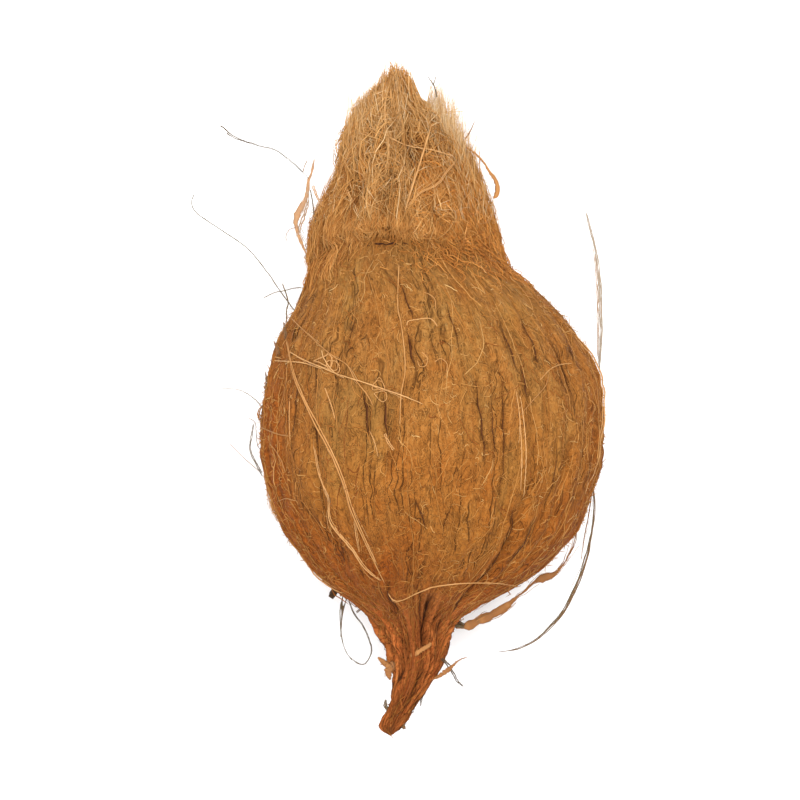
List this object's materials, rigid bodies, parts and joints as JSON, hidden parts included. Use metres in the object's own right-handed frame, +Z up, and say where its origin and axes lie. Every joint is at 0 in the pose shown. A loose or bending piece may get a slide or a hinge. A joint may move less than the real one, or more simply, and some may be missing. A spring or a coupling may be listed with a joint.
{
  "type": "coconut",
  "caption": "Mature coconut stripped of its husk, lying on its side: a round nut in fibrous brown coir skin, with a bristling tuft of husk over the eyes and a twisted fibre tail.",
  "frame": {"origin": "On the surface that the nut rests on, on the flat spot straight below the middle of the nut.", "axes": "+Z up, +Y along the nut from its tail to its tuft, +X to the right seen from above with the tuft away from the viewer."},
  "size_m": [0.1332, 0.2168, 0.1099],
  "materials": {
    "coir_brown": "dry matted coir fibre, matt, golden brown to red-brown",
    "husk_straw": "loose dry husk fibre, matt, straw to tan"
  },
  "bodies": {
    "root": {"nut": "coir_brown", "husk_tuft": "husk_straw"}
  },
  "joints": []
}
